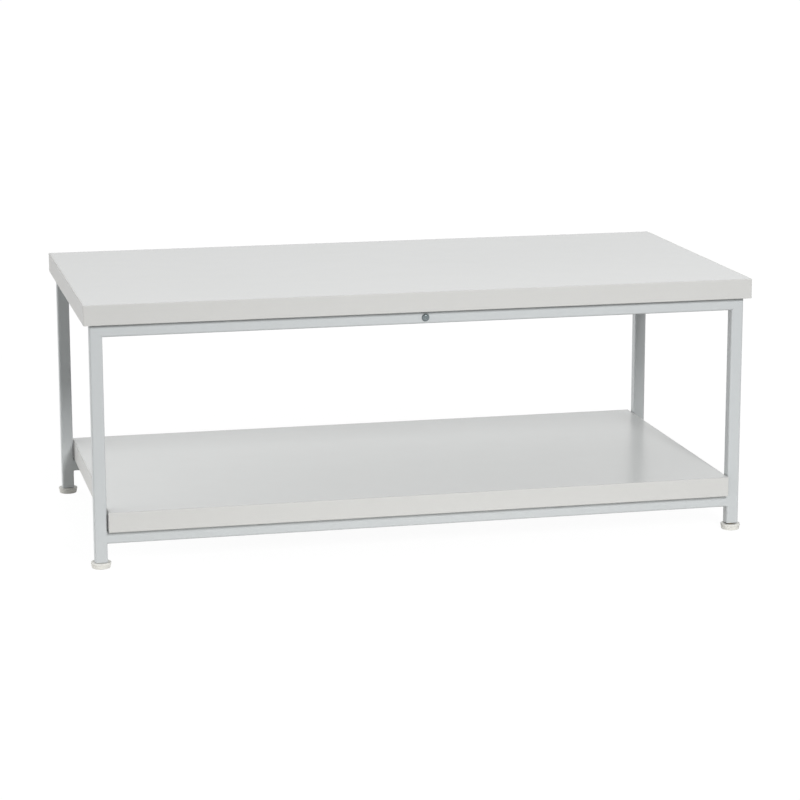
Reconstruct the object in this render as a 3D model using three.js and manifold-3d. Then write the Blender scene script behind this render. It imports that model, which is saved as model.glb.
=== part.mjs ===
// Coffee table with a lower shelf: two thick boards on a frame of square steel tube.
// Millimetres, +Z up. The origin is on the floor, under the middle of the table.
// X runs along the table, and the front faces -Y.

import * as THREE from 'three';
import { mergeVertices } from 'three/addons/utils/BufferGeometryUtils.js';
import Module from 'manifold-3d';

const wasm = await Module();
wasm.setup();

// Table outline
const tableLength = 1080;
const tableDepth = 540;
const tableHeight = 420;
const overhang = 10; // top board past the frame all round, and shelf board at the front and back
const shelfEndSlot = 1.5; // open slot between each end of the shelf and the legs

// Frame tube
const tubeSize = 20;
const tubeWall = 1.5;
const tubeCornerRadius = 3;
const legStubLength = 29.8; // free leg below the low rails

// Gaps between neighbours
const weldGap = 0.3;
const fitGap = 0.3;
const seatGap = 0.2;
const glueGap = 0.1;

// Boards
const boardThickness = 32;
const bandThickness = 2; // edge band
const arrisRadius = 1;
const boardCornerRadius = 1.5;

// Board screws
const screwDiameter = 4.5;
const screwLength = 25;
const screwTipLength = 5;
const screwHeadDiameter = 9;
const screwHeadHeight = 3;
const screwHeadRimHeight = 1;
const screwSlotLength = 4.6;
const screwSlotWidth = 1.1;
const screwSlotDepth = 1.4;
const screwHoleDiameter = 5.2;
const screwAccessDiameter = 11; // hole in the rail's underside that the screw's head goes through
const screwInset = 110; // in from the ends of the frame

// Frame bolts
const boltDiameter = 6;
const boltLength = 35;
const boltFlangeDiameter = 13.6;
const boltFlangeThickness = 0.9;
const boltDomeDiameter = 10.5;
const boltDomeHeight = 2.5;
const boltSocketAcrossFlats = 4;
const boltSocketDepth = 2;
const boltHoleDiameter = 6.8;
const railPlugLength = 18;

// Levelling feet
const padHeight = 9.5;
const padRimDiameter = 32;
const padBaseDiameter = 29.6;
const padRimRadius = 1;
const padBaseRadius = 1.6;
const padDishDiameter = 27;
const padDishDepth = 1;
const padFloorThickness = 3; // plastic under the stud
const footSlit = 0.4; // leg ends stand this far above their pads
const screwedOut = 2; // the front right foot is screwed out this much further
const studFlangeDiameter = 14;
const studReach = 38; // stud above the pad
const studChamfer = 0.8;
const legPlugLength = 25;
const nutHeight = 6.5;
const studShare = 0.47; // stud's diameter, as a share of the tube's bore
const nutShare = 0.765; // nut's width across flats, likewise

// Facets
const padFacets = 36;
const boltFacets = 24;
const screwFacets = 12;
const holeFacets = 16;
const hexFacets = 6;
const cornerSteps = 3;
const tubeCornerSteps = 5;

// Heights
const legEnd = padHeight + footSlit;
const topUnderside = tableHeight - boardThickness;
const frameTop = topUnderside - seatGap;
const lowRailTop = legEnd + legStubLength + tubeSize;
const shelfUnderside = lowRailTop + seatGap;

// Frame lines
const halfTube = tubeSize / 2;
const tubeBore = tubeSize - tubeWall - tubeWall;
const boreCornerRadius = tubeCornerRadius - tubeWall;
const studDiameter = tubeBore * studShare;
const nutAcrossFlats = tubeBore * nutShare;
const frameLength = tableLength - overhang - overhang;
const frameDepth = tableDepth - overhang - overhang;
const innerLength = frameLength - tubeSize - tubeSize;
const innerDepth = frameDepth - tubeSize - tubeSize;
const legX = frameLength / 2 - halfTube;
const legY = frameDepth / 2 - halfTube;
const corners = [
  ['front_left', -1, -1, legEnd],
  ['front_right', 1, -1, legEnd + screwedOut],
  ['back_left', -1, 1, legEnd],
  ['back_right', 1, 1, legEnd],
];
const sides = [['front', -1], ['back', 1]];
const overrun = tubeSize; // how far each cutter runs past what it cuts
const screwX = frameLength / 2 - screwInset;

const table = new THREE.Group();

// Finishes

function finish(color, roughness, metalness) {
  return new THREE.MeshStandardMaterial({ color, roughness, metalness });
}

const finishes = {
  board: () => finish('#dcdedc', 0.42, 0),
  edging: () => finish('#dbdad6', 0.45, 0),
  paint: () => finish('#d3d8d9', 0.38, 0.1),
  zinc: () => finish('#8f979a', 0.35, 0.9),
  steel: () => finish('#a2a5a6', 0.4, 0.9),
  ivory: () => finish('#dcdcd2', 0.5, 0),
  nylon: () => finish('#4a403a', 0.6, 0),
};

// Solids

function toSolid(geometry) {
  const bare = geometry.clone();
  bare.deleteAttribute('normal');
  bare.deleteAttribute('uv');
  const merged = mergeVertices(bare);
  const corners = [...merged.index.array];
  const faces = [];
  for (let i = 0; i < corners.length; i += 3) {
    const face = corners.slice(i, i + 3);
    if (new Set(face).size === 3) faces.push(...face); // a turned profile has slivers on its axis
  }
  return new wasm.Manifold(new wasm.Mesh({
    numProp: 3,
    vertProperties: new Float32Array(merged.attributes.position.array),
    triVerts: new Uint32Array(faces),
  }));
}

function toGeometry(solid) {
  const mesh = solid.getMesh();
  const geometry = new THREE.BufferGeometry();
  geometry.setAttribute('position', new THREE.BufferAttribute(mesh.vertProperties, 3));
  geometry.setIndex(new THREE.BufferAttribute(mesh.triVerts, 1));
  geometry.computeVertexNormals();
  return geometry;
}

function cutAll(solid, cutters) {
  return cutters.reduce((left, cutter) => left.subtract(cutter), solid);
}

function add(name, solid, material, position = [0, 0, 0], rotation = [0, 0, 0]) {
  const mesh = new THREE.Mesh(toGeometry(solid), material());
  mesh.name = name;
  mesh.position.set(...position);
  mesh.rotation.set(...rotation);
  table.add(mesh);
}

// Shapes

function roundedRectangle(width, height, radius, Kind = THREE.Shape) {
  const x = width / 2 - radius;
  const y = height / 2 - radius;
  const quarter = Math.PI / 2;
  const outline = new Kind();
  outline.absarc(x, y, radius, 0, quarter);
  outline.absarc(-x, y, radius, quarter, quarter * 2);
  outline.absarc(-x, -y, radius, quarter * 2, quarter * 3);
  outline.absarc(x, -y, radius, quarter * 3, quarter * 4);
  outline.closePath();
  return outline;
}

function extruded(outline, depth, curveSegments = cornerSteps) {
  return new THREE.ExtrudeGeometry(outline, { depth, bevelEnabled: false, curveSegments });
}

// A box between its lowest and highest corners.
function block(low, high) {
  const size = high.map((value, i) => value - low[i]);
  const geometry = new THREE.BoxGeometry(...size);
  geometry.translate(...low.map((value, i) => value + size[i] / 2));
  return toSolid(geometry);
}

// An upright round or hexagonal bar.
function bar(radius, low, high, facets, x = 0, y = 0) {
  const geometry = new THREE.CylinderGeometry(radius, radius, high - low, facets);
  geometry.rotateX(Math.PI / 2);
  geometry.translate(x, y, (low + high) / 2);
  return toSolid(geometry);
}

// A closed profile of [radius, height] points, turned about Z.
function turned(profile, facets) {
  const points = profile.map(([radius, height]) => new THREE.Vector2(radius, height));
  const geometry = new THREE.LatheGeometry(points, facets);
  geometry.rotateX(Math.PI / 2);
  return toSolid(geometry);
}

// A quarter round of a turned profile, from the angle start on, in quarter turns.
function quarterRound(radius, height, width, rise, start) {
  return Array.from({ length: cornerSteps + 1 }, (_, i) => {
    const angle = (start + i / cornerSteps) * (Math.PI / 2);
    return [radius + width * Math.cos(angle), height + rise * Math.sin(angle)];
  });
}

function hexRadius(acrossFlats) {
  return acrossFlats / Math.sqrt(3);
}

// Square tube standing on the XY plane, open at both ends.
function standingTube(length) {
  const section = roundedRectangle(tubeSize, tubeSize, tubeCornerRadius);
  section.holes.push(roundedRectangle(tubeBore, tubeBore, boreCornerRadius, THREE.Path));
  return extruded(section, length, tubeCornerSteps);
}

// Square tube along X or Y, centred on the origin.
function lyingTube(length, axis) {
  const geometry = standingTube(length);
  geometry.translate(0, 0, -length / 2);
  if (axis === 'x') geometry.rotateY(Math.PI / 2);
  else geometry.rotateX(Math.PI / 2);
  return toSolid(geometry);
}

// A mitre cutter: a triangle of [x, z] corners, run right through the tube along Y.
function wedge(corners) {
  const outline = new THREE.Shape(corners.map(([x, z]) => new THREE.Vector2(x, z)));
  const through = tubeSize + overrun;
  const geometry = extruded(outline, through);
  geometry.rotateX(Math.PI / 2);
  geometry.translate(0, through / 2, 0);
  return toSolid(geometry);
}

// Frame

const mitreStep = weldGap / Math.SQRT2; // moves each mitre face back by half the gap

function leg(length) {
  const reach = halfTube + overrun;
  const high = length - halfTube + reach - mitreStep;
  const low = length - halfTube - reach - mitreStep;
  return toSolid(standingTube(length)).subtract(wedge([[-reach, high], [reach, low], [reach, high]]));
}

// For each board screw: a close hole in the top wall of the rail and a wide one in its underside.
function screwHoles() {
  const reach = halfTube + overrun;
  return [-screwX, screwX].flatMap((x) => [
    bar(screwHoleDiameter / 2, 0, reach, holeFacets, x),
    bar(screwAccessDiameter / 2, -reach, 0, holeFacets, x),
  ]);
}

function boltHole() {
  const reach = halfTube + overrun;
  return bar(boltHoleDiameter / 2, -reach, reach, holeFacets).rotate([90, 0, 0]);
}

function topRail() {
  const end = frameLength / 2;
  const outer = end + overrun;
  const inner = end - tubeSize - overrun;
  const high = halfTube + overrun + mitreStep;
  const low = -halfTube - overrun + mitreStep;
  const mitres = [-1, 1].map((side) => {
    return wedge([[side * outer, high], [side * outer, low], [side * inner, low]]);
  });
  return cutAll(lyingTube(frameLength, 'x'), [...mitres, ...screwHoles(), boltHole()]);
}

function lowRail() {
  return cutAll(lyingTube(innerLength - weldGap - weldGap, 'x'), screwHoles());
}

function crossRail() {
  return lyingTube(innerDepth - seatGap - seatGap, 'y');
}

// A plug that fills the bore of a tube, standing on the XY plane.
function borePlug(length) {
  const width = tubeBore - fitGap - fitGap;
  return toSolid(extruded(roundedRectangle(width, width, boreCornerRadius - fitGap), length));
}

function railPlug() {
  const hole = bar(boltDiameter / 2 + fitGap, -overrun, railPlugLength + overrun, holeFacets);
  return borePlug(railPlugLength).subtract(hole);
}

function bolt() {
  const flange = boltFlangeDiameter / 2;
  const dome = boltDomeDiameter / 2;
  const face = -boltFlangeThickness - boltDomeHeight;
  const domed = quarterRound(0, -boltFlangeThickness, dome, boltDomeHeight, 3);
  const body = turned([
    ...domed,
    [flange, -boltFlangeThickness],
    [flange, 0],
    [boltDiameter / 2, 0],
    [boltDiameter / 2, boltLength],
    [0, boltLength],
  ], boltFacets);
  const socket = bar(hexRadius(boltSocketAcrossFlats), face - overrun, face + boltSocketDepth, hexFacets);
  return body.subtract(socket);
}

function addFrame() {
  for (const [name, x, y, low] of corners) {
    const turn = x > 0 ? Math.PI : 0;
    add(`${name}_leg`, leg(frameTop - low), finishes.paint, [x * legX, y * legY, low], [0, 0, turn]);
  }
  for (const [name, y] of sides) {
    add(`${name}_top_rail`, topRail(), finishes.paint, [0, y * legY, frameTop - halfTube]);
    add(`${name}_low_rail`, lowRail(), finishes.paint, [0, y * legY, lowRailTop - halfTube]);
  }
}

function addCrossRail() {
  const height = frameTop - halfTube;
  add('centre_cross_rail', crossRail(), finishes.paint, [0, 0, height]);
  for (const [name, y] of sides) {
    const inward = [y * Math.PI / 2, 0, 0];
    const railEnd = y * (innerDepth / 2 - seatGap);
    add(`${name}_rail_plug`, railPlug(), finishes.steel, [0, railEnd, height], inward);
    add(`${name}_frame_bolt`, bolt(), finishes.zinc, [0, y * (frameDepth / 2 + seatGap), height], inward);
  }
}

// Boards

// A board with rounded corners and arrises, its underside on the XY plane.
function roundedBoard(length, depth) {
  const outline = roundedRectangle(
    length - arrisRadius - arrisRadius,
    depth - arrisRadius - arrisRadius,
    boardCornerRadius - arrisRadius,
  );
  const geometry = new THREE.ExtrudeGeometry(outline, {
    depth: boardThickness - arrisRadius - arrisRadius,
    bevelThickness: arrisRadius,
    bevelSize: arrisRadius,
    bevelSegments: cornerSteps,
    curveSegments: cornerSteps,
  });
  geometry.translate(0, 0, arrisRadius);
  return toSolid(geometry);
}

function pilotHoles() {
  const depth = screwLength - tubeWall - seatGap - seatGap + fitGap;
  const radius = screwDiameter / 2 + fitGap;
  return corners.map(([, x, y]) => bar(radius, -overrun, depth, holeFacets, x * screwX, y * legY));
}

function addBoard(name, length, depth, underside) {
  const board = roundedBoard(length, depth);
  const low = -overrun;
  const high = boardThickness + overrun;
  const x = length / 2;
  const y = depth / 2;
  const coreX = x - bandThickness - glueGap;
  const coreY = y - bandThickness - glueGap;
  const core = board.intersect(block([-coreX, -coreY, low], [coreX, coreY, high]));
  add(`${name}_core`, cutAll(core, pilotHoles()), finishes.board, [0, 0, underside]);

  const endInner = x - bandThickness;
  const sideInner = y - bandThickness;
  const bands = {
    left: [[-x - overrun, -y - overrun, low], [-endInner, y + overrun, high]],
    right: [[endInner, -y - overrun, low], [x + overrun, y + overrun, high]],
    front: [[-coreX, -y - overrun, low], [coreX, -sideInner, high]],
    back: [[-coreX, sideInner, low], [coreX, y + overrun, high]],
  };
  for (const [side, [from, to]] of Object.entries(bands)) {
    add(`${name}_band_${side}`, board.intersect(block(from, to)), finishes.edging, [0, 0, underside]);
  }
}

function addBoards() {
  const shelfLength = innerLength - shelfEndSlot - shelfEndSlot;
  addBoard('top_board', tableLength, tableDepth, topUnderside);
  addBoard('shelf_board', shelfLength, tableDepth, shelfUnderside);
}

// Board screws

function screw() {
  const head = screwHeadDiameter / 2;
  const shank = screwDiameter / 2;
  const crown = screwHeadHeight - screwHeadRimHeight;
  const body = turned([
    ...quarterRound(0, -screwHeadRimHeight, head, crown, 3),
    [head, 0],
    [shank, 0],
    [shank, screwLength - screwTipLength],
    [0, screwLength],
  ], screwFacets);
  const x = screwSlotLength / 2;
  const y = screwSlotWidth / 2;
  const low = -screwHeadHeight - overrun;
  const high = -screwHeadHeight + screwSlotDepth;
  return cutAll(body, [block([-x, -y, low], [x, y, high]), block([-y, -x, low], [y, x, high])]);
}

function addScrews(name, railTop) {
  const seat = railTop - tubeWall - seatGap;
  for (const [corner, x, y] of corners) {
    add(`${name}_screw_${corner}`, screw(), finishes.zinc, [x * screwX, y * legY, seat]);
  }
}

// Levelling feet

function pad() {
  const rim = padRimDiameter / 2 - padRimRadius;
  const base = padBaseDiameter / 2 - padBaseRadius;
  const bore = studDiameter / 2 + fitGap;
  const dish = padDishDiameter / 2;
  return turned([
    [0, 0],
    ...quarterRound(base, padBaseRadius, padBaseRadius, padBaseRadius, 3),
    ...quarterRound(rim, padHeight - padRimRadius, padRimRadius, padRimRadius, 0),
    [dish, padHeight],
    [dish - padDishDepth, padHeight - padDishDepth],
    [bore, padHeight - padDishDepth],
    [bore, padFloorThickness],
    [0, padFloorThickness],
  ], padFacets);
}

function stud() {
  const radius = studDiameter / 2;
  const flange = studFlangeDiameter / 2;
  const bottom = padFloorThickness + fitGap;
  const flangeUnderside = padHeight - padDishDepth + fitGap;
  const flangeTop = legEnd - fitGap;
  const top = legEnd + studReach;
  return turned([
    [0, bottom],
    [radius, bottom],
    [radius, flangeUnderside],
    [flange, flangeUnderside],
    [flange, flangeTop],
    [radius, flangeTop],
    [radius, top - studChamfer],
    [radius - studChamfer, top],
    [0, top],
  ], boltFacets);
}

function legPlug() {
  const bore = bar(studDiameter / 2 + fitGap, -overrun, legPlugLength + overrun, holeFacets);
  const pocketRadius = hexRadius(nutAcrossFlats) + fitGap;
  const pocket = bar(pocketRadius, legPlugLength - nutHeight - fitGap, legPlugLength + overrun, hexFacets);
  return cutAll(borePlug(legPlugLength), [bore, pocket]);
}

function nut() {
  const body = bar(hexRadius(nutAcrossFlats), 0, nutHeight, hexFacets);
  return body.subtract(bar(studDiameter / 2 + fitGap, -overrun, nutHeight + overrun, holeFacets));
}

function addFeet() {
  for (const [name, sideX, sideY, low] of corners) {
    const x = sideX * legX;
    const y = sideY * legY;
    add(`${name}_leg_plug`, legPlug(), finishes.nylon, [x, y, low]);
    add(`${name}_leg_nut`, nut(), finishes.steel, [x, y, low + legPlugLength - nutHeight]);
    add(`${name}_foot_stud`, stud(), finishes.steel, [x, y, 0]);
    add(`${name}_foot_pad`, pad(), finishes.ivory, [x, y, 0]);
  }
}

addFrame();
addCrossRail();
addBoards();
addScrews('top_board', frameTop);
addScrews('shelf_board', lowRailTop);
addFeet();

export default table;
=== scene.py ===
# Coffee table with a lower shelf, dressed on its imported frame.
# Metres, +Z up. X runs along the table and the front faces -Y.

import math

import bmesh
import bpy
from mathutils import Matrix, Vector


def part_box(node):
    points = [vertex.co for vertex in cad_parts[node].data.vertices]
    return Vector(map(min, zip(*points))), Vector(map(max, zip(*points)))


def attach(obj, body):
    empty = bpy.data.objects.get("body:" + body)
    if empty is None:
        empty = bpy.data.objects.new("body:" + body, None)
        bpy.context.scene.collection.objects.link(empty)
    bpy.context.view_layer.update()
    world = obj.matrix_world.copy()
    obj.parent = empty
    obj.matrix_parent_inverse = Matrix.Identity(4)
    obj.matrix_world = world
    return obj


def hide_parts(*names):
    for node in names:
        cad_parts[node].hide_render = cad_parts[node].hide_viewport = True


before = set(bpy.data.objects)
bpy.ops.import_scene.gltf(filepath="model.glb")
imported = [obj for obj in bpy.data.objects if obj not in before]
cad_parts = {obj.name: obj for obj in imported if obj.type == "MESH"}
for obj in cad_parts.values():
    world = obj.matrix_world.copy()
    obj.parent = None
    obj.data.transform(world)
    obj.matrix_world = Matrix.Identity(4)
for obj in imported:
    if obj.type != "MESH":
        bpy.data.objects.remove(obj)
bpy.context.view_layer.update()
print("frame loaded:", len(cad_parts), "nodes")

corners = ["front_left", "front_right", "back_left", "back_right"]
sides = ["front", "back"]
boards = ["top_board", "shelf_board"]
edges = ["left", "right", "front", "back"]
table = "frame_and_boards"


# Camera, floor and light

camera = {
    "place": (-0.9524, -4.2404, 1.1180),
    "aim": (0.0180, 0.0, 0.1897),
    "tilt": 0.105,  # degrees that the picture leans
    "lens": 118.65,
    "sensorWidth": 36.0,
    "farthest": 200.0,
}

studio = {
    "floorHalfWidth": 60.0,
    "floorDrop": 0.0002,  # keeps the floor off the undersides of the feet
    "floorColour": (0.98, 0.97, 0.93),
    "floorReach": 2.0,  # the floor throws less light back with distance, and none from here on
    "floorWhite": 1.02,  # what the camera sees of it in full light
    "shadowShare": 0.07,  # how much of that can darken
    "shadowReach": 1.6,
    "skyStrength": 0.11,
    "brightSides": {  # each fades to nothing at a right angle to it
        "left": {"azimuth": -116.0, "elevation": 8.0, "strength": 1.95, "narrowing": 2.0},
        "backRight": {"azimuth": 150.0, "elevation": 30.0, "strength": 0.60, "narrowing": 4.0},
    },
    "aim": (0.0, 0.0, 0.2),
    "lampDistance": 4.5,
    "lamps": {
        "soft": {  # lights each surface without a glare
            "azimuth": 8.0,
            "elevation": 27.5,
            "width": 0.8,
            "height": 1.2,
            "watts": 152.0,
            "mirrored": False,
        },
        "glint": {  # is only seen mirrored
            "azimuth": 8.0,
            "elevation": 38.0,
            "width": 0.4,
            "height": 0.4,
            "watts": 40.0,
            "mirrored": True,
        },
    },
}


white = (1.0, 1.0, 1.0, 1.0)
black = (0.0, 0.0, 0.0, 1.0)


def pointAt(thing, place, aim):
    thing.location = place
    thing.rotation_euler = (aim - place).to_track_quat("-Z", "Y").to_euler()


# Azimuth 0 is in front of the table, and 90 is on its right.
def directionTo(spot):
    azimuth, elevation = math.radians(spot["azimuth"]), math.radians(spot["elevation"])
    level = math.cos(elevation)
    return Vector((math.sin(azimuth) * level, -math.cos(azimuth) * level, math.sin(elevation)))


def makeCamera():
    data = bpy.data.cameras.new("photoCamera")
    data.lens = camera["lens"]
    data.sensor_width = camera["sensorWidth"]
    data.clip_end = camera["farthest"]
    eye = bpy.data.objects.new("photoCamera", data)
    bpy.context.scene.collection.objects.link(eye)
    pointAt(eye, Vector(camera["place"]), Vector(camera["aim"]))
    eye.rotation_euler.rotate_axis("Z", -math.radians(camera["tilt"]))
    bpy.context.scene.camera = eye


def addNode(tree, kind, values=None, **settings):
    node = tree.nodes.new(kind)
    for name, value in settings.items():
        setattr(node, name, value)
    for socket, value in (values or {}).items():
        node.inputs[socket].default_value = value
    return node


# One where the camera, a mirror or glass looks straight at the backdrop, else zero.
def seenDirectly(tree):
    path = addNode(tree, "ShaderNodeLightPath")
    seen = path.outputs["Is Camera Ray"]
    for ray in ("Is Glossy Ray", "Is Transmission Ray"):
        both = addNode(tree, "ShaderNodeMath", operation="MAXIMUM")
        tree.links.new(seen, both.inputs[0])
        tree.links.new(path.outputs[ray], both.inputs[1])
        seen = both.outputs[0]
    return seen


# How bright each part of the sky is: a few sides are brighter, as beside large windows.
def skyShare(tree):
    place = addNode(tree, "ShaderNodeTexCoord")
    total = None
    for side in studio["brightSides"].values():
        towards = {1: directionTo(side)}
        along = addNode(tree, "ShaderNodeVectorMath", towards, operation="DOT_PRODUCT")
        facing = addNode(tree, "ShaderNodeClamp")
        narrowed = addNode(tree, "ShaderNodeMath", {1: side["narrowing"]}, operation="POWER")
        share = {1: side["strength"], 2: studio["skyStrength"]}
        added = addNode(tree, "ShaderNodeMath", share, operation="MULTIPLY_ADD")
        tree.links.new(place.outputs["Generated"], along.inputs[0])
        tree.links.new(along.outputs["Value"], facing.inputs["Value"])
        tree.links.new(facing.outputs["Result"], narrowed.inputs[0])
        tree.links.new(narrowed.outputs[0], added.inputs[0])
        if total:
            tree.links.new(total, added.inputs[2])
        total = added.outputs[0]
    return total


def makeSky():
    world = bpy.data.worlds.new("studioSky")
    bpy.context.scene.world = world
    world.use_nodes = True
    tree = world.node_tree
    tree.nodes.clear()
    lit = addNode(tree, "ShaderNodeBackground", {"Color": white})
    shown = addNode(tree, "ShaderNodeBackground", {"Color": white, "Strength": 1.0})
    mix = addNode(tree, "ShaderNodeMixShader")
    output = addNode(tree, "ShaderNodeOutputWorld")
    tree.links.new(skyShare(tree), lit.inputs["Strength"])
    tree.links.new(seenDirectly(tree), mix.inputs[0])
    tree.links.new(lit.outputs[0], mix.inputs[1])
    tree.links.new(shown.outputs[0], mix.inputs[2])
    tree.links.new(mix.outputs[0], output.inputs["Surface"])


# The full strength at the middle of the floor, and less with distance.
def fadeOut(tree, strength, reach):
    place = addNode(tree, "ShaderNodeTexCoord")
    distance = addNode(tree, "ShaderNodeVectorMath", operation="LENGTH")
    fade = addNode(tree, "ShaderNodeMapRange", interpolation_type="SMOOTHSTEP")
    fade.inputs["From Max"].default_value = reach
    fade.inputs["To Min"].default_value = strength
    fade.inputs["To Max"].default_value = 0.0
    tree.links.new(place.outputs["Object"], distance.inputs[0])
    tree.links.new(distance.outputs["Value"], fade.inputs["Value"])
    return fade.outputs["Result"]


# Pale floor: it throws light back at the table, and shows as white with a faint shadow.
def floorFinish():
    material = bpy.data.materials.new("paleFloor")
    material.use_nodes = True
    material.cycles.emission_sampling = "NONE"
    tree = material.node_tree
    tree.nodes.clear()
    tone = addNode(tree, "ShaderNodeMix", data_type="RGBA")
    tone.inputs["A"].default_value = black
    tone.inputs["B"].default_value = (*studio["floorColour"], 1)
    tree.links.new(fadeOut(tree, 1.0, studio["floorReach"]), tone.inputs["Factor"])
    bounce = addNode(tree, "ShaderNodeBsdfDiffuse")
    tree.links.new(tone.outputs["Result"], bounce.inputs["Color"])
    glow = {"Color": white, "Strength": studio["floorWhite"]}
    bright = addNode(tree, "ShaderNodeEmission", glow)
    shaded = addNode(tree, "ShaderNodeBsdfDiffuse", {"Color": white})
    shown = addNode(tree, "ShaderNodeMixShader")
    tree.links.new(fadeOut(tree, studio["shadowShare"], studio["shadowReach"]), shown.inputs[0])
    tree.links.new(bright.outputs[0], shown.inputs[1])
    tree.links.new(shaded.outputs[0], shown.inputs[2])
    above = addNode(tree, "ShaderNodeMixShader")
    tree.links.new(seenDirectly(tree), above.inputs[0])
    tree.links.new(bounce.outputs[0], above.inputs[1])
    tree.links.new(shown.outputs[0], above.inputs[2])
    side = addNode(tree, "ShaderNodeNewGeometry")
    clear = addNode(tree, "ShaderNodeBsdfTransparent")
    both = addNode(tree, "ShaderNodeMixShader")  # see-through from below
    output = addNode(tree, "ShaderNodeOutputMaterial")
    tree.links.new(side.outputs["Backfacing"], both.inputs[0])
    tree.links.new(above.outputs[0], both.inputs[1])
    tree.links.new(clear.outputs[0], both.inputs[2])
    tree.links.new(both.outputs[0], output.inputs["Surface"])
    return material


def makeFloor():
    half = studio["floorHalfWidth"]
    points = [(-half, -half, 0), (half, -half, 0), (half, half, 0), (-half, half, 0)]
    mesh = bpy.data.meshes.new("floor")
    mesh.from_pydata(points, [], [range(len(points))])
    mesh.materials.append(floorFinish())
    floor = bpy.data.objects.new("floor", mesh)
    floor.location.z = -studio["floorDrop"]
    bpy.context.scene.collection.objects.link(floor)


def makeLamps():
    aim = Vector(studio["aim"])
    for name, lamp in studio["lamps"].items():
        data = bpy.data.lights.new(name, "AREA")
        data.shape = "RECTANGLE"
        data.size, data.size_y = lamp["width"], lamp["height"]
        data.energy = lamp["watts"]
        light = bpy.data.objects.new(name, data)
        light.visible_glossy = lamp["mirrored"]
        light.visible_diffuse = not lamp["mirrored"]
        bpy.context.scene.collection.objects.link(light)
        pointAt(light, aim + directionTo(lamp) * studio["lampDistance"], aim)


makeCamera()
makeFloor()
makeLamps()
makeSky()
bpy.context.scene.view_settings.view_transform = "Standard"
print("camera, floor and light ready")


# Finishes

# Patches, waves and grain are counted in each metre, and their depths are in metres.
finishes = {
    "boardLaminate": {
        "slot": "board",
        "light": (0.667, 0.678, 0.673),
        "dark": (0.640, 0.651, 0.646),
        "patch": 6.0,
        "roughness": 0.24,
        "smudge": 0.05,
        "wave": 180.0,
        "waveDepth": 0.000012,
        "grain": 1500.0,
        "grainDepth": 0.000016,
        "grainShare": 0.45,
    },
    "edgeBand": {
        "slot": "edge_band",
        "light": (0.628, 0.630, 0.619),
        "dark": (0.594, 0.593, 0.579),
        "patch": 9.0,
        "roughness": 0.42,
        "smudge": 0.06,
        "wave": 35.0,
        "waveDepth": 0.00003,
        "grain": 900.0,
        "grainDepth": 0.00002,
        "grainShare": 0.4,
        "stretch": (0.02, 0.02, 1.0),  # streaks along the edge
    },
    "edgeGlue": {
        "slot": "edge_band",
        "light": (0.560, 0.556, 0.530),
        "dark": (0.470, 0.463, 0.435),
        "patch": 120.0,
        "roughness": 0.5,
        "smudge": 0.06,
        "wave": 300.0,
        "waveDepth": 0.00002,
        "grain": 1500.0,
        "grainDepth": 0.00001,
        "grainShare": 0.3,
    },
    "framePaint": {
        "slot": "frame_paint",
        "light": (0.570, 0.593, 0.603),
        "dark": (0.540, 0.564, 0.575),
        "patch": 14.0,
        "roughness": 0.34,
        "smudge": 0.07,
        "wave": 420.0,  # the powder coat's orange peel
        "waveDepth": 0.00004,
        "grain": 2400.0,
        "grainDepth": 0.00001,
        "grainShare": 0.5,
    },
    # Zinc, given a darker colour than the bare metal: painted shade standing in for the darker room it
    # would mirror.
    "zincWithPaintedShade": {
        "slot": "zinc_plate",
        "light": (0.270, 0.305, 0.315),
        "dark": (0.165, 0.192, 0.200),
        "patch": 260.0,
        "roughness": 0.25,
        "smudge": 0.07,
        "wave": 500.0,
        "waveDepth": 0.00002,
        "grain": 2200.0,
        "grainDepth": 0.00001,
        "grainShare": 0.35,
        "metallic": 1.0,
    },
    "studSteel": {
        "slot": "plain_steel",
        "light": (0.46, 0.37, 0.24),
        "dark": (0.30, 0.24, 0.17),
        "patch": 180.0,
        "roughness": 0.36,
        "smudge": 0.12,
        "wave": 500.0,
        "waveDepth": 0.00002,
        "grain": 2200.0,
        "grainDepth": 0.00001,
        "grainShare": 0.35,
        "metallic": 1.0,
    },
    "footPlastic": {
        "slot": "foot_plastic",
        "light": (0.775, 0.772, 0.742),
        "dark": (0.700, 0.692, 0.650),
        "patch": 60.0,
        "roughness": 0.46,
        "smudge": 0.08,
        "wave": 300.0,
        "waveDepth": 0.00004,
        "grain": 1600.0,
        "grainDepth": 0.00002,
        "grainShare": 0.35,
    },
    # Dark brown nylon, darkened further as painted shade for the slit under each leg's end.
    "plugNylonWithPaintedShade": {
        "slot": "nylon",
        "light": (0.080, 0.060, 0.048),
        "dark": (0.050, 0.038, 0.030),
        "patch": 120.0,
        "roughness": 0.55,
        "smudge": 0.06,
        "wave": 350.0,
        "waveDepth": 0.00004,
        "grain": 1500.0,
        "grainDepth": 0.00002,
        "grainShare": 0.35,
    },
}


# How many finer layers each noise has, and how much each of them counts.
noiseDetail = {"patch": 5.0, "wave": 1.0, "grain": 2.0}
noiseRoughness = 0.58


def noiseAt(tree, vector, look, kind):
    values = {"Scale": look[kind], "Detail": noiseDetail[kind], "Roughness": noiseRoughness}
    noise = addNode(tree, "ShaderNodeTexNoise", values)
    tree.links.new(vector, noise.inputs["Vector"])
    return noise.outputs["Fac"]


def raisedBy(tree, height, depth, normal=None):
    bump = addNode(tree, "ShaderNodeBump", {"Strength": 1.0, "Distance": depth})
    tree.links.new(height, bump.inputs["Height"])
    if normal:
        tree.links.new(normal, bump.inputs["Normal"])
    return bump.outputs["Normal"]


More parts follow.
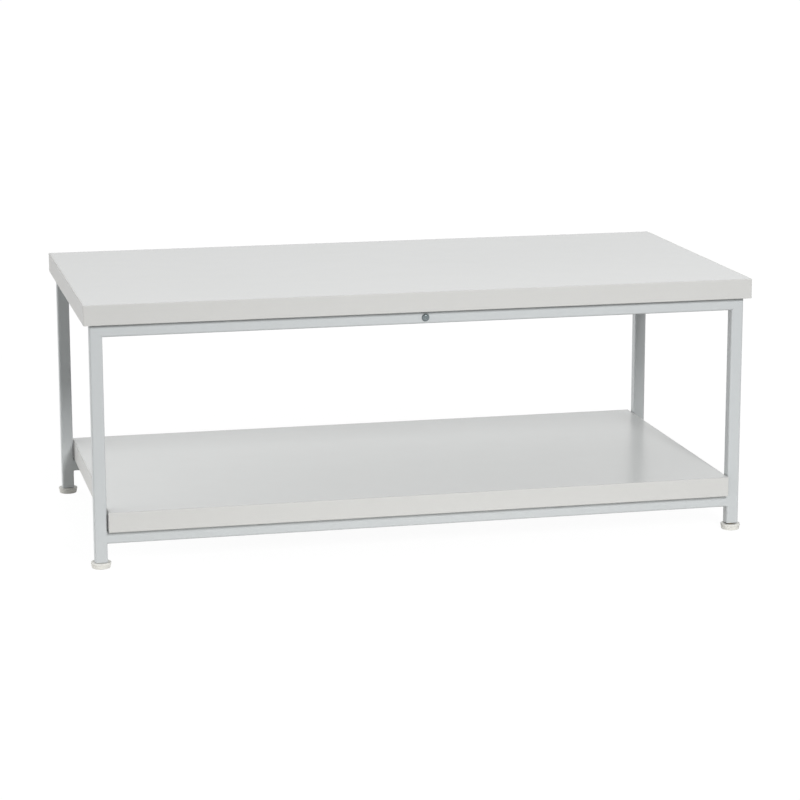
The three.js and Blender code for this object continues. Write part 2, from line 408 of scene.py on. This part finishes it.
def makeFinish(name):
    look = finishes[name]
    material = bpy.data.materials.new(name)
    material.use_nodes = True
    tree = material.node_tree
    tree.nodes.clear()
    place = addNode(tree, "ShaderNodeTexCoord").outputs["Object"]
    spread = addNode(tree, "ShaderNodeMapping", {"Scale": look.get("stretch", (1.0, 1.0, 1.0))})
    tree.links.new(place, spread.inputs["Vector"])
    patch = noiseAt(tree, place, look, "patch")
    wave = noiseAt(tree, spread.outputs["Vector"], look, "wave")
    grain = noiseAt(tree, spread.outputs["Vector"], look, "grain")

    shade = addNode(tree, "ShaderNodeMix", {"Factor": look["grainShare"]}, data_type="FLOAT")
    tree.links.new(patch, shade.inputs["A"])
    tree.links.new(grain, shade.inputs["B"])
    colour = addNode(tree, "ShaderNodeMix", data_type="RGBA")
    colour.inputs["A"].default_value = (*look["dark"], 1.0)
    colour.inputs["B"].default_value = (*look["light"], 1.0)
    tree.links.new(shade.outputs["Result"], colour.inputs["Factor"])

    wear = addNode(tree, "ShaderNodeMapRange")
    wear.inputs["To Min"].default_value = look["roughness"] - look["smudge"]
    wear.inputs["To Max"].default_value = look["roughness"] + look["smudge"]
    tree.links.new(patch, wear.inputs["Value"])
    relief = raisedBy(tree, grain, look["grainDepth"], raisedBy(tree, wave, look["waveDepth"]))

    surface = addNode(tree, "ShaderNodeBsdfPrincipled", {"Metallic": look.get("metallic", 0.0)})
    output = addNode(tree, "ShaderNodeOutputMaterial")
    tree.links.new(colour.outputs["Result"], surface.inputs["Base Color"])
    tree.links.new(wear.outputs["Result"], surface.inputs["Roughness"])
    tree.links.new(relief, surface.inputs["Normal"])
    tree.links.new(surface.outputs["BSDF"], output.inputs["Surface"])
    return material


materials = {name: makeFinish(name) for name in finishes}
print("finishes ready:", len(materials))


# Building pieces

mm = 0.001
sharpAngle = math.radians(35)  # a sharper edge isn't shaded as smooth


# Joins each ring of points to the next one with a band of faces.
def skinRings(shape, rings):
    for ring, following in zip(rings, rings[1:]):
        for i in range(len(ring)):
            j = (i + 1) % len(ring)
            shape.faces.new((ring[i], ring[j], following[j], following[i]))


# Turns rows of radius and height about Z and closes both ends. A radius may be a function of the angle.
def turnRows(rows, steps):
    shape = bmesh.new()
    rings = []
    for radius, height in rows:
        ring = []
        for i in range(steps):
            angle = i * math.tau / steps
            r = radius(angle) if callable(radius) else radius
            ring.append(shape.verts.new((r * math.cos(angle), r * math.sin(angle), height)))
        rings.append(ring)
    skinRings(shape, rings)
    shape.faces.new(rings[0])
    shape.faces.new(rings[-1])
    return shape


# Part of a round in a profile, about one point and between two angles in degrees.
def roundRows(radius, height, size, start, end, steps):
    angles = [math.radians(start + (end - start) * i / steps) for i in range(steps + 1)]
    return [(radius + size * math.cos(a), height + size * math.sin(a)) for a in angles]


# A hexagonal outline, as a function of the angle.
def hexOutline(acrossFlats):
    side = math.tau / 6

    def radius(angle):
        return acrossFlats / 2 / math.cos((angle + side / 2) % side - side / 2)
    return radius


# Rows of a screw thread that fades in and out over one turn at each end.
def threadRows(thread, low, high):
    crest = thread["diameter"] / 2
    pitch = thread["pitch"]

    def outline(height):
        fade = min(1.0, (height - low) / pitch, (high - height) / pitch)

        def radius(angle):
            turn = (height / pitch - angle / math.tau) % 1.0
            return crest - thread["depth"] * fade * (1.0 - abs(2.0 * turn - 1.0))
        return radius

    count = math.ceil((high - low) / pitch * thread["rowsPerTurn"])
    heights = [low + (high - low) * i / count for i in range(count + 1)]
    return [(outline(height), height) for height in heights]


# Sets a shape drawn in millimetres in its place, and lets it ride on a body.
def addPiece(name, shape, place, finish, body, *replaced):
    bmesh.ops.recalc_face_normals(shape, faces=shape.faces)
    mesh = bpy.data.meshes.new(name)
    shape.to_mesh(mesh)
    shape.free()
    mesh.transform(place @ Matrix.Scale(mm, 4))
    mesh.polygons.foreach_set("use_smooth", [True] * len(mesh.polygons))
    mesh.set_sharp_from_angle(angle=sharpAngle)
    mesh.materials.append(materials[finish])
    piece = bpy.data.objects.new(name, mesh)
    bpy.context.scene.collection.objects.link(piece)
    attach(piece, body)
    if replaced:
        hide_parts(*replaced)


def middleOf(node):
    low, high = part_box(node)
    return (low + high) / 2


# Levelling feet

footPad = {
    "rimWidth": 32.0,
    "rimHeight": 3.4,
    "rimRound": 0.9,
    "bodyWidth": 30.8,  # right under the rim
    "baseWidth": 29.6,
    "baseRound": 1.4,
    "dishWidth": 27.0,
    "dishDepth": 0.25,
    "dishRound": 0.25,
    "boreWidth": 8.6,
    "boreFloor": 3.0,
    "recessWidth": 21.0,  # in the underside
    "recessDepth": 0.7,
    "lip": 0.5,  # under the rim and at the bore's mouth
    "steps": 72,
    "roundSteps": 6,
    "lipSteps": 4,
}

footStud = {
    "thread": {"diameter": 7.99, "depth": 0.68, "pitch": 1.25, "rowsPerTurn": 6},
    "collarWidth": 12.0,  # across the flats of its thin hexagon
    "collarBottom": 8.8,
    "collarTop": 9.6,
    "plainNeck": 0.6,
    "tipChamfer": 0.8,
    "steps": 36,
}


def makeFootPad(corner):
    pad = footPad
    low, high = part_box(f"{corner}_foot_pad")
    top = (high.z - low.z) / mm
    rim, body, base = pad["rimWidth"] / 2, pad["bodyWidth"] / 2, pad["baseWidth"] / 2
    dish, bore, recess = pad["dishWidth"] / 2, pad["boreWidth"] / 2, pad["recessWidth"] / 2
    lip, rimRound = pad["lip"], pad["rimRound"]
    baseRound, dishRound = pad["baseRound"], pad["dishRound"]
    roundSteps, lipSteps = pad["roundSteps"], pad["lipSteps"]
    step = top - pad["rimHeight"]
    rows = [
        (recess - pad["recessDepth"], pad["recessDepth"]),
        (recess, 0.0),
        *roundRows(base - baseRound, baseRound, baseRound, -90, 0, roundSteps),
        (body, step),
        *roundRows(rim - lip, step + lip, lip, -90, 0, lipSteps),
        *roundRows(rim - rimRound, top - rimRound, rimRound, 0, 90, roundSteps),
        *roundRows(dish + dishRound, top - dishRound, dishRound, 90, 180, lipSteps),
        (bore + lip, top - pad["dishDepth"]),
        (bore, top - pad["dishDepth"] - lip),
        (bore, pad["boreFloor"]),
    ]
    middle = middleOf(f"{corner}_foot_pad")
    place = Matrix.Translation((middle.x, middle.y, low.z))
    addPiece(f"{corner}_levelling_pad", turnRows(rows, pad["steps"]), place,
             "footPlastic", f"{corner}_foot", f"{corner}_foot_pad")


def makeFootStud(corner):
    stud = footStud
    node = f"{corner}_foot_stud"
    low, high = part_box(node)
    bottom, tip = low.z / mm, high.z / mm
    radius = stud["thread"]["diameter"] / 2
    collar = hexOutline(stud["collarWidth"])
    neck = stud["collarTop"] + stud["plainNeck"]
    rows = [
        (radius, bottom),
        (radius, stud["collarBottom"]),
        (collar, stud["collarBottom"]),
        (collar, stud["collarTop"]),
        (radius, stud["collarTop"]),
        *threadRows(stud["thread"], neck, tip - stud["tipChamfer"]),
        (radius - stud["tipChamfer"], tip),
    ]
    middle = middleOf(node)
    place = Matrix.Translation((middle.x, middle.y, 0.0))
    addPiece(f"{corner}_threaded_stud", turnRows(rows, stud["steps"]), place,
             "studSteel", f"{corner}_foot", node)


for corner in corners:
    makeFootPad(corner)
    makeFootStud(corner)
print("levelling feet ready")


# Frame bolts

frameBolt = {
    "thread": {"diameter": 6.0, "depth": 0.55, "pitch": 1.0, "rowsPerTurn": 6},
    "threadLength": 18.0,
    "flangeWidth": 12.4,
    "flangeHeight": 0.9,
    "flangeRound": 0.3,
    "flangeSteps": 4,
    "domeWidth": 10.5,
    "domeHeight": 2.5,
    "domeRows": 9,
    "mouthWidth": 6.2,  # where the countersink of the socket starts
    "mouthDepth": 0.32,
    "socketWidth": 4.0,  # across its flats
    "socketDepth": 1.6,
    "drillPoint": 0.9,  # how much deeper the drilled tip goes
    "drillTipWidth": 1.0,
    "tipChamfer": 0.6,
    "steps": 48,
}


def makeFrameBolt(side):
    bolt = frameBolt
    node = f"{side}_frame_bolt"
    low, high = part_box(node)
    outward = -1 if side == "front" else 1
    head, end = max(abs(low.y), abs(high.y)), min(abs(low.y), abs(high.y))
    flange, dome = bolt["flangeWidth"] / 2, bolt["domeWidth"] / 2
    edge, flangeRound = bolt["flangeHeight"], bolt["flangeRound"]
    radius = bolt["thread"]["diameter"] / 2
    socket = hexOutline(bolt["socketWidth"])

    def domeTop(r):
        return edge + bolt["domeHeight"] * math.sqrt(1.0 - (r / dome) ** 2)

    mouth = bolt["mouthWidth"] / 2
    rim = domeTop(mouth)
    domeRadii = [mouth + (dome - mouth) * math.sin(math.pi / 2 * i / bolt["domeRows"])
                 for i in reversed(range(bolt["domeRows"] + 1))]
    tip = rim - (head - end) / mm
    rows = [
        (radius - bolt["tipChamfer"], tip),
        *threadRows(bolt["thread"], tip + bolt["tipChamfer"], tip + bolt["threadLength"]),
        (radius, 0.0),
        (flange - flangeRound, 0.0),
        *roundRows(flange - flangeRound, edge - flangeRound, flangeRound, 0, 90, bolt["flangeSteps"]),
        *[(r, domeTop(r)) for r in domeRadii],
        (socket, rim - bolt["mouthDepth"]),
        (socket, rim - bolt["socketDepth"]),
        (bolt["drillTipWidth"] / 2, rim - bolt["socketDepth"] - bolt["drillPoint"]),
    ]
    middle = middleOf(node)
    seat = Matrix.Translation((middle.x, outward * (head - rim * mm), middle.z))
    turn = Matrix.Rotation(-outward * math.pi / 2, 4, "X")
    shape = turnRows(rows, bolt["steps"])
    addPiece(f"{side}_domed_bolt", shape, seat @ turn, "zincWithPaintedShade", table, node)


for side in sides:
    makeFrameBolt(side)
print("frame bolts ready")


# Welds, painted over with the frame

tube = {"width": 20.0, "cornerRadius": 3.0, "cornerSteps": 6}

mitreWeld = {
    "width": 2.0,  # this seam is ground off
    "sunk": 0.22,  # below the faces of the tubes
    "root": 2.2,  # how deep the weld goes
    "notch": 1.3,  # how much further it stays back in the inner corner
}

# Points across the seam: how far each lies towards the leg, and how far out of the rail's face.
railWeld = {
    "flush": [  # on the front and back, where the tubes' faces meet in one plane
        (-0.9, -0.03),
        (-0.3, 0.03),
        (1.4, 0.05),
        (3.2, 0.04),
        (4.0, -0.04),
        (3.0, -0.7),
        (1.2, -1.8),
        (0.2, -2.9),
    ],
    "fillet": [  # above and below the rail, in the corner with the leg
        (-1.5, -0.03),
        (-0.9, 0.10),
        (-0.4, 0.45),
        (0.0, 0.95),
        (0.25, 1.55),
        (0.45, 1.3),
        (0.4, 0.2),
        (0.1, -0.5),
    ],
}


# Points round a square tube's section, each with its place and its outward direction.
def tubeOutline():
    radius, steps = tube["cornerRadius"], tube["cornerSteps"]
    flat = tube["width"] / 2 - radius
    points = []
    for turn, (across, up) in enumerate(((flat, flat), (-flat, flat), (-flat, -flat), (flat, -flat))):
        for i in range(steps + 1):
            angle = math.radians(90 * turn + 90 * i / steps)
            outY, outZ = math.cos(angle), math.sin(angle)
            points.append((across + radius * outY, up + radius * outZ, outY, outZ))
    return points


# The seam where a leg's head meets the top rail at 45 degrees.
def makeMitreWeld(corner):
    side = -1 if "left" in corner else 1
    leg, rail = middleOf(f"{corner}_leg"), middleOf(f"{corner.split('_')[0]}_top_rail")
    seamward = Vector((-side, 0.0, 1.0)).normalized()
    half = mitreWeld["width"] / 2
    shape = bmesh.new()
    rings = []
    for across, up, outY, outZ in tubeOutline():
        point = Vector((side * up, across, up))
        out = Vector((side * outZ / 2, outY, outZ / 2)).normalized()
        slope = outZ / math.sqrt(2 * outY ** 2 + outZ ** 2)
        crown = -mitreWeld["sunk"] - mitreWeld["notch"] * max(0.0, -outZ)
        root = -mitreWeld["root"]
        section = [
            (-half, crown),
            (0.0, crown),
            (half, crown),
            (half / 2, root),
            (0.0, root),
            (-half / 2, root),
        ]
        ring = []
        for along, lift in section:
            lift -= slope * abs(along)  # keeps to the two tubes' faces, which meet at an angle
            ring.append(shape.verts.new(point + seamward * along + out * lift))
        rings.append(ring)
    skinRings(shape, rings + rings[:1])
    place = Matrix.Translation((leg.x, leg.y, rail.z))
    addPiece(f"{corner}_mitre_weld", shape, place, "framePaint", table)


# The seam where a low rail's end meets the side of its leg.
def makeRailWeld(corner):
    side = -1 if "left" in corner else 1
    node = f"{corner.split('_')[0]}_low_rail"
    low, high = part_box(node)
    rail = middleOf(node)
    shape = bmesh.new()
    rings = []
    for across, up, outY, outZ in tubeOutline():
        ring = []
        for flush, fillet in zip(railWeld["flush"], railWeld["fillet"]):
            along = flush[0] + (fillet[0] - flush[0]) * outZ ** 2
            lift = flush[1] + (fillet[1] - flush[1]) * outZ ** 2
            ring.append(shape.verts.new((side * along, across + outY * lift, up + outZ * lift)))
        rings.append(ring)
    skinRings(shape, rings + rings[:1])
    place = Matrix.Translation((low.x if side < 0 else high.x, rail.y, rail.z))
    addPiece(f"{corner}_rail_weld", shape, place, "framePaint", table)


for corner in corners:
    makeMitreWeld(corner)
    makeRailWeld(corner)
print("welds ready")


# Glue lines between each board and its edge bands

glueLine = {
    "width": 0.16,
    "bandThickness": 2.0,
    "shift": 0.16 / 3,  # from the seam into the board's core
    "arris": 1.1,  # how round the corners of its outline are
    "arrisSteps": 4,
    "sunk": 0.02,  # below the board's faces
}


# An upright sheet of glue, from one end of its middle line to the other.
def makeGlueSheet(start, end, thickness):
    along = (end - start).normalized()
    across = Vector((-along.y, along.x, 0.0)) * (glueLine["width"] / 2)
    arris, sunk = glueLine["arris"], glueLine["sunk"]
    reach = (end - start).length
    turns = (
        (reach - arris, thickness - arris, 0),
        (arris, thickness - arris, 90),
        (arris, arris, 180),
        (reach - arris, arris, 270),
    )
    outline = []
    for x, z, first in turns:
        outline += roundRows(x, z, arris - sunk, first, first + 90, glueLine["arrisSteps"])
    shape = bmesh.new()
    rings = []
    for side in (-1, 1):
        ring = []
        for x, z in outline:
            ring.append(shape.verts.new(start + along * x + Vector((0.0, 0.0, z)) + across * side))
        shape.faces.new(ring)
        rings.append(ring)
    skinRings(shape, rings)
    return shape


def makeGlueLines(board):
    bands = {edge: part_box(f"{board}_band_{edge}") for edge in ("left", "right")}
    low = bands["left"][0] / mm
    high = bands["right"][1] / mm
    inset = glueLine["bandThickness"] + glueLine["shift"]
    left, right = low.x + inset, high.x - inset
    front, back = low.y + inset, high.y - inset
    lines = {
        "left": ((left, low.y), (left, high.y)),
        "right": ((right, low.y), (right, high.y)),
        "front": ((left, front), (right, front)),
        "back": ((left, back), (right, back)),
    }
    place = Matrix.Translation((0.0, 0.0, low.z * mm))
    for edge, (start, end) in lines.items():
        shape = makeGlueSheet(Vector((*start, 0.0)), Vector((*end, 0.0)), high.z - low.z)
        addPiece(f"{board}_glue_line_{edge}", shape, place, "edgeGlue", table)


for board in boards:
    makeGlueLines(board)
print("glue lines ready")


# Pieces that stay as they were packed


def dressNode(node, finish):
    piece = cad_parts[node]
    piece.data.materials.clear()
    piece.data.materials.append(materials[finish])


def dressFrameAndBoards():
    for corner in corners:
        dressNode(f"{corner}_leg", "framePaint")
        dressNode(f"{corner}_leg_plug", "plugNylonWithPaintedShade")
        dressNode(f"{corner}_leg_nut", "zincWithPaintedShade")
        for board in boards:
            dressNode(f"{board}_screw_{corner}", "zincWithPaintedShade")
    for side in sides:
        dressNode(f"{side}_top_rail", "framePaint")
        dressNode(f"{side}_low_rail", "framePaint")
        dressNode(f"{side}_rail_plug", "zincWithPaintedShade")
    dressNode("centre_cross_rail", "framePaint")
    for board in boards:
        dressNode(f"{board}_core", "boardLaminate")
        for edge in edges:
            dressNode(f"{board}_band_{edge}", "edgeBand")


dressFrameAndBoards()
print("frame and boards dressed")
